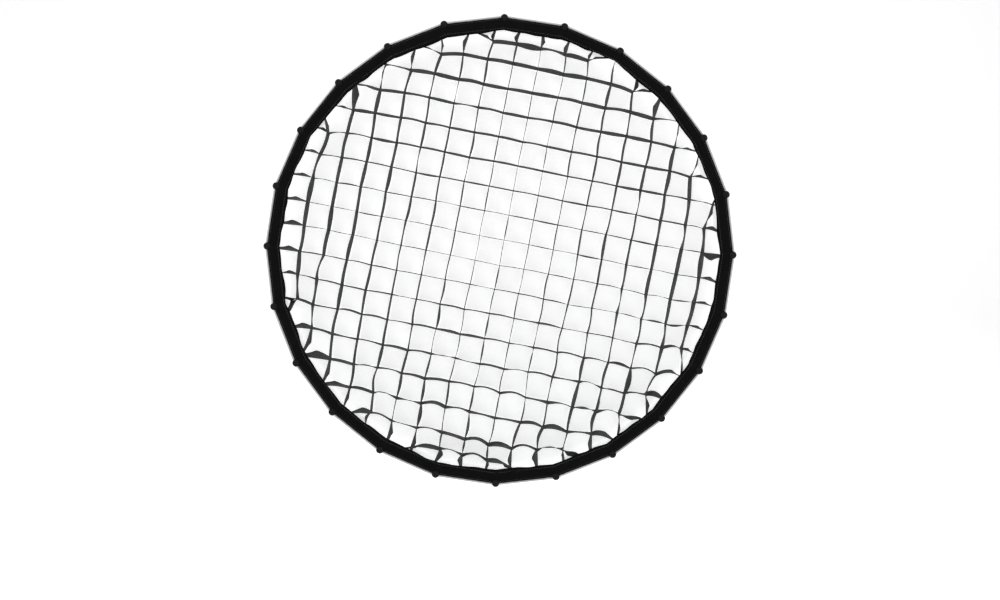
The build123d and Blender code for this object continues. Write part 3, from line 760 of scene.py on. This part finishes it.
def slackness(x, z):
    """How slack the grid hangs at a place: little in the middle, more low down, most at lower right."""
    away = math.hypot(x, z) / TIP_OUT
    low = max(0.0, -z / TIP_OUT)
    loose = math.exp(-(((x - 0.40) ** 2 + (z + 0.37) ** 2) / 0.020))
    return 0.40 + 0.70 * away**2 + 0.85 * low + 1.3 * loose


def grid_turned(across, up):
    """Places across and up the grid, as x and z."""
    c, s = math.cos(GRID_TURN), math.sin(GRID_TURN)
    return across * c - up * s, across * s + up * c


def crossing(k, j, depth):
    """Where column k and row j are sewn together, at the front (depth 0) or the rear (1)."""
    across = GRID_SHIFT[0] + k * GRID_CELL
    up = GRID_SHIFT[1] + j * GRID_CELL
    x, z = grid_turned(across, up)
    slack = slackness(x, z)
    across += 0.0068 * slack * smooth_noise(0.55 * k, 0.55 * j, 4.0)
    across += 0.0022 * slack * smooth_noise(2.1 * k, 2.3 * j, 5.0 + depth)
    up += 0.0060 * slack * smooth_noise(0.55 * k, 0.55 * j, 6.0)
    up += 0.0022 * slack * smooth_noise(2.2 * k, 1.9 * j, 7.0 + depth)
    up -= 0.0030 * slack * max(0.0, -z / TIP_OUT)
    away = math.hypot(across, up)
    drawn = min(away, SLACK_FROM + max(0.0, away - SLACK_FROM) * SLACK_SHARE) / away
    return across * drawn, up * drawn


def strip_knots(family, number, fixed, depths):
    """Where a strip is held, its ends on the rim and its crossings, as (along, offset) by depth."""
    knots = []
    for other in STRIPS:
        place_other = GRID_SHIFT[1 - family] + other * GRID_CELL
        if math.hypot(fixed, place_other) < RIBBON_END_FRONT - FREE_END:
            pair = (number, other) if family == 0 else (other, number)
            spots = [crossing(*pair, depth) for depth in depths]
            along = [spot[1 - family] for spot in spots]
            offset = [spot[family] for spot in spots]
            knots.append((np.array(along), np.array(offset)))
    reach = np.sqrt((RIBBON_END_FRONT + (RIBBON_END_REAR - RIBBON_END_FRONT) * depths) ** 2 - fixed**2)
    return [(-reach, fixed + 0 * depths), *knots, (reach, fixed + 0 * depths)]


def strip_bow(family, slack, height, steps, depths, chance):
    """How far a strip bows sideways between two crossings, from its front edge to its rear."""
    if family == 1:
        rise = 0.0010 + 0.0058 * max(0.0, -height) + 0.0014 * max(0.0, height)
        front_bulge = slack * (rise * chance.uniform(0.3, 1.5) + chance.normal(0, 0.0006))
    else:
        front_bulge = slack * chance.normal(0, 0.0014)
    rear_bulge = front_bulge * 0.4 + slack * chance.normal(0, 0.0022)
    skew = chance.uniform(0.7, 1.2)
    cup = slack * chance.normal(0, 0.0010)
    shape = np.sin(math.pi * steps**skew)[:, None]
    return shape * (front_bulge + (rear_bulge - front_bulge) * depths + cup * np.sin(math.pi * depths))


def end_twist(family, from_hem, depths, chance):
    """A strip's end turned over beside the hem, and mostly upwards on a row."""
    peak = np.minimum(from_hem / 0.3, (1 - from_hem) / 0.7).clip(0)[:, None]
    up = 1 if family == 1 and chance.uniform() < 0.8 else chance.choice((-1, 1))
    return up * chance.uniform(*END_TWIST) * peak * (depths - 0.35)


def strip_line(family, number, depths, chance):
    """A strip's points along it and sideways of it, by depth."""
    fixed = GRID_SHIFT[family] + number * GRID_CELL
    knots = strip_knots(family, number, fixed, depths)
    steps = np.linspace(0, 1, RIBBON_STEPS + 1)[:-1]
    rows_along, rows_offset = [], []
    for index, ((a0, o0), (a1, o1)) in enumerate(zip(knots, knots[1:])):
        middle = float((a0 + a1).mean() / 2)
        x, z = grid_turned(fixed, middle) if family == 0 else grid_turned(middle, fixed)
        bow = strip_bow(family, slackness(x, z), z / TIP_OUT, steps, depths, chance)
        twist = 0.0
        if index in (0, len(knots) - 2):
            twist = end_twist(family, steps if index == 0 else 1 - steps, depths, chance)
        rows_along.append(a0 + (a1 - a0) * steps[:, None])
        rows_offset.append(o0 + (o1 - o0) * steps[:, None] + bow + twist)
    rows_along.append(knots[-1][0][None, :])
    rows_offset.append(knots[-1][1][None, :])
    return np.concatenate(rows_along), np.concatenate(rows_offset)


def make_ribbon(family, number, chance):
    """One strip of the grid as runs of closed cloth: a list of (sector, front, back, uv)."""
    depths = np.linspace(0, 1, RIBBON_ROWS)
    along, offset = strip_line(family, number, depths, chance)
    x, z = grid_turned(offset, along) if family == 0 else grid_turned(along, offset)
    tremble = 0.0012 * np.sin(along * 61 + number * 2.3)
    y = -(GRID_FRONT - (GRID_FRONT - GRID_REAR) * depths[None, :]) + tremble * (1 - depths[None, :])
    middle_line = np.stack([x, y, z], -1)
    side_x, side_z = grid_turned(1 - family, family)
    half = np.array((side_x, 0, side_z)) * RIBBON / 2
    uv = np.stack(np.broadcast_arrays(along, depths[None, :] * (GRID_FRONT - GRID_REAR)), -1)
    centre = middle_line[:, RIBBON_ROWS // 2]
    owners = [sector_of((a[0] + b[0]) / 2, (a[2] + b[2]) / 2) for a, b in zip(centre, centre[1:])]
    runs, begin = [], 0
    for i in range(1, len(owners) + 1):
        if i == len(owners) or owners[i] != owners[begin]:
            part = slice(begin, i + 1)
            runs.append((owners[begin], middle_line[part] + half, middle_line[part] - half, uv[part]))
            begin = i
    return runs


def hang_front_cloth(piece, sector):
    """A front cloth's outer part hangs on its rib, and its middle on the ring."""
    if sector >= 0:
        gather_on_rib(piece, sector)
    else:
        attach(piece, "ring")
        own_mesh(piece)


def make_grid():
    chance = np.random.default_rng(24)
    by_sector = {}
    for family in (0, 1):
        for number in STRIPS:
            if abs(GRID_SHIFT[family] + number * GRID_CELL) < STRIP_LIMIT:
                for owner, front, back, uv in make_ribbon(family, number, chance):
                    by_sector.setdefault(owner, []).append((front, back, uv))
    for sector, parts in sorted(by_sector.items()):
        label = f"rim_{sector + 1:02d}" if sector >= 0 else f"middle_{-sector:02d}"
        piece = slab(f"grid_{label}", parts, [ribbon_cloth])
        hang_front_cloth(piece, sector)
        if sector == 0:
            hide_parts("egg_crate_grid")


# ---- diffuser and baffle -----------------------------------------------------------------------
def round_cloth(name, begin, end, near, far, forward, thickness, material, rings=9, turns=9, merge=0.0):
    """Part of a round cloth between two angles and two distances from the axis."""
    out = np.linspace(near, far, rings)[:, None]
    angle = np.linspace(begin, end, turns)[None, :]
    x, z = out * np.cos(angle), out * np.sin(angle)
    y = -forward + 0 * x
    front = np.stack([x, y, z], -1)
    back = np.stack([x, y + thickness, z], -1)
    uv = np.stack([x, z], -1)
    return slab(name, [(front, back, uv)], [material], merge)


def diffuser_rim(i):
    """One rib's share of the diffuser: flat, then turned up inside the rods to meet the canopy."""
    angle, local = i * STEP, np.linspace(-HALF, HALF, 13)
    flat = np.linspace(CLOTH_SPLIT, rib_out_at(DIFFUSER_FRONT) - SKIRT_INSET, 10)
    turned = np.linspace(DIFFUSER_FRONT, SKIRT_FRONT, 4)[1:]
    out = np.concatenate([flat, [rib_out_at(f) - SKIRT_INSET for f in turned]])
    forward = np.concatenate([np.full(len(flat), DIFFUSER_FRONT - 0.002), turned])
    straight = ((out - CLOTH_SPLIT) / (flat[-1] - CLOTH_SPLIT)).clip(0, 1)[:, None]
    side = side_radius(1.0, local)[None, :] - 0.003 * (1 - np.cos(RIB_COUNT * local))[None, :]
    away = out[:, None] * (1 + (side - 1) * straight)
    drawn = 0.0010 * straight * np.cos(RIB_COUNT * local + 1.0)[None, :]
    front = place(angle, away * np.cos(local), away * np.sin(local), forward[:, None] + drawn)
    inner = away - 0.0008 * straight**8
    back = place(angle, inner * np.cos(local), inner * np.sin(local), forward[:, None] + drawn - 0.0008)
    return front, back, np.stack([front[..., 0], front[..., 2]], -1), flat[-1]


def make_diffuser():
    for i in range(RIB_COUNT):
        front, back, uv, edge = diffuser_rim(i)
        piece = slab(f"diffuser_rim_{i + 1:02d}", [(front, back, uv)], [front_cloth])
        hang_front_cloth(piece, i)
        if i == 0:
            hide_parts("front_diffuser")
    for w in range(WEDGES):
        turn = math.tau / WEDGES
        piece = round_cloth(f"diffuser_middle_{w + 1:02d}", w * turn, (w + 1) * turn, 0.0, CLOTH_SPLIT,
                            DIFFUSER_FRONT - 0.002, 0.0008, front_cloth, turns=17, merge=1e-5)
        hang_front_cloth(piece, -1 - w)


def make_baffle():
    turn = math.tau / BAFFLE_WEDGES
    for w in range(BAFFLE_WEDGES):
        piece = round_cloth(f"baffle_{w + 1:02d}", w * turn, (w + 1) * turn, 0.0, BAFFLE_OUT, BAFFLE_FRONT,
                            0.0008, baffle_cloth, turns=13, merge=1e-5)
        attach(piece, "ring")
        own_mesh(piece)
        if w == 0:
            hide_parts("inner_baffle")


# ---- elastic cuff between the ring and the canopy ----------------------------------------------
def make_cuff():
    root_out, root_forward = rib_point(CUFF_END, CANOPY_LIFT + 0.0016)
    profile_out = np.array([RING_OUT + 0.0016, RING_OUT + 0.0020, RING_OUT + 0.0034, 0.1062, 0.1092,
                            0.1120, 0.1160, float(root_out)])
    profile_forward = np.array([CUFF_REAR, 0.0200, 0.0290, 0.0365, 0.0440, 0.0500, 0.0550,
                                float(root_forward)])
    run = np.concatenate([[0], np.cumsum(np.hypot(np.diff(profile_out), np.diff(profile_forward)))])
    fine = np.linspace(0, run[-1], 25)
    out, forward = np.interp(fine, run, profile_out), np.interp(fine, run, profile_forward)
    across = np.linspace(-1, 1, 25)
    gathered = np.sin(math.pi * (fine / run[-1]).clip(0.02, 0.98))[:, None]
    opening = LOCK_GAP * np.exp(-(((forward - LOCK_FORWARD) / LOCK_SLIT) ** 4))[:, None]
    for i in range(RIB_COUNT):
        angle = i * STEP
        reach = np.ones((len(fine), len(across)))
        if i in (0, RIB_COUNT // 2):
            reach = np.where(across[None, :] > 0, 1 - opening, reach)
        if i in (1, RIB_COUNT // 2 + 1):
            reach = np.where(across[None, :] < 0, 1 - opening, reach)
        local = across[None, :] * HALF * reach
        straight = (fine / run[-1])[:, None] ** 2
        away = out[:, None] * (1 - straight * (1 - side_radius(1.0, local)))
        away = away + 0.0009 * gathered * np.cos(5 * RIB_COUNT * local)
        front = place(angle, away * np.cos(local), away * np.sin(local), forward[:, None])
        inner = away - CUFF_THICKNESS
        back = place(angle, inner * np.cos(local), inner * np.sin(local), forward[:, None])
        uv = np.stack(np.broadcast_arrays(0.11 * local, fine[:, None]), -1)
        cuff = slab(f"cuff_{i + 1:02d}", [(front, back, uv)], [cuff_cloth])
        place(angle, RING_OUT, 0, CUFF_HELD)
        place(angle, float(root_out), 0, CUFF_FREE)
        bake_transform(cuff)


# ---- stitches ----------------------------------------------------------------------------------
def stitch_shape(nodes, inside):
    """One rounded stitch, and the scale that draws it out to its length."""
    stitch = set_inputs(nodes.new("GeometryNodeMeshUVSphere"), Segments=6, Rings=4,
                        Radius=inside.outputs["Radius"])
    stretch = math_node(nodes, "DIVIDE", inside.outputs["Length"], inside.outputs["Radius"])
    scale = set_inputs(nodes.new("ShaderNodeCombineXYZ"), X=1.0, Y=1.0,
                       Z=math_node(nodes, "MULTIPLY", stretch, 0.5))
    return stitch.outputs["Mesh"], scale.outputs[0]


def stitch_tree():
    """Short rounded stitches laid along the edges of a mesh."""
    tree = bpy.data.node_groups.new("stitches", "GeometryNodeTree")
    tree.interface.new_socket("Geometry", in_out="INPUT", socket_type="NodeSocketGeometry")
    group_sockets(tree, "INPUT", [
        ("Pitch", "NodeSocketFloat", STITCH_PITCH), ("Length", "NodeSocketFloat", STITCH_LENGTH),
        ("Radius", "NodeSocketFloat", STITCH_RADIUS),
    ])
    tree.interface.new_socket("Material", in_out="INPUT", socket_type="NodeSocketMaterial")
    tree.interface.new_socket("Geometry", in_out="OUTPUT", socket_type="NodeSocketGeometry")
    nodes = tree.nodes
    inside, outside = nodes.new("NodeGroupInput"), nodes.new("NodeGroupOutput")
    curve = set_inputs(nodes.new("GeometryNodeMeshToCurve"), Mesh=inside.outputs["Geometry"])
    spaced = nodes.new("GeometryNodeResampleCurve")
    spaced.mode = "LENGTH"
    set_inputs(spaced, Curve=curve.outputs[0], Length=inside.outputs["Pitch"])
    points = nodes.new("GeometryNodeCurveToPoints")
    points.mode = "EVALUATED"
    set_inputs(points, Curve=spaced.outputs[0])
    stitch, scale = stitch_shape(nodes, inside)
    laid = set_inputs(nodes.new("GeometryNodeInstanceOnPoints"), Points=points.outputs["Points"],
                      Instance=stitch, Rotation=points.outputs["Rotation"], Scale=scale)
    real = set_inputs(nodes.new("GeometryNodeRealizeInstances"), Geometry=laid.outputs[0])
    painted = set_inputs(nodes.new("GeometryNodeSetMaterial"), Geometry=real.outputs[0],
                         Material=inside.outputs["Material"])
    set_inputs(outside, Geometry=painted.outputs[0])
    return tree


def lay_stitches(name, rows, tree):
    """Rows of points turned into one mesh of stitches."""
    vertices, edges = [], []
    for row in rows:
        start = len(vertices)
        vertices += [tuple(p) for p in row]
        edges += [(start + i, start + i + 1) for i in range(len(row) - 1)]
    line = bpy.data.meshes.new(name + "_line")
    line.from_pydata(vertices, edges, [])
    guide = link_object(name + "_guide", line)
    laid = guide.modifiers.new("stitches", "NODES")
    laid.node_group = tree
    sockets = {item.name: item.identifier for item in tree.interface.items_tree if item.in_out == "INPUT"}
    laid[sockets["Material"]] = thread
    graph = bpy.context.evaluated_depsgraph_get()
    mesh = bpy.data.meshes.new_from_object(guide.evaluated_get(graph), depsgraph=graph)
    mesh.name = name
    bpy.data.objects.remove(guide)
    return link_object(name, mesh)


def make_stitches():
    tree = stitch_tree()
    along = stations(CUFF_END + 0.004, RIB_LENGTH - 0.012, 0.01)
    for i in range(RIB_COUNT):
        angle = i * STEP
        rows = []
        for side in (-SEAM_SIDE, SEAM_SIDE):
            lift = CANOPY_LIFT + RIDGE_HEIGHT * math.exp(-((side / RIDGE_WIDTH) ** 2)) + 0.0001
            out, forward = rib_point(along, lift)
            rows.append(place(angle, out, side, forward))
        local = rim_local(15)
        for inset in (0.0040, 0.0270):
            away = side_radius(HEM_CORNER - inset, local)
            lifted = TIP_FORWARD + hem_crown(1 - inset / HEM_WIDTH) + 0.0003
            rows.append(place(angle, away * np.cos(local), away * np.sin(local), lifted))
        gather_on_rib(lay_stitches(f"stitches_{i + 1:02d}", rows, tree), i)


# ---- build everything --------------------------------------------------------------------------
make_camera()
make_stage()
make_light()
make_canopy()
make_rim()
make_grid()
make_diffuser()
make_baffle()
make_cuff()
make_stitches()
finish_hardware()
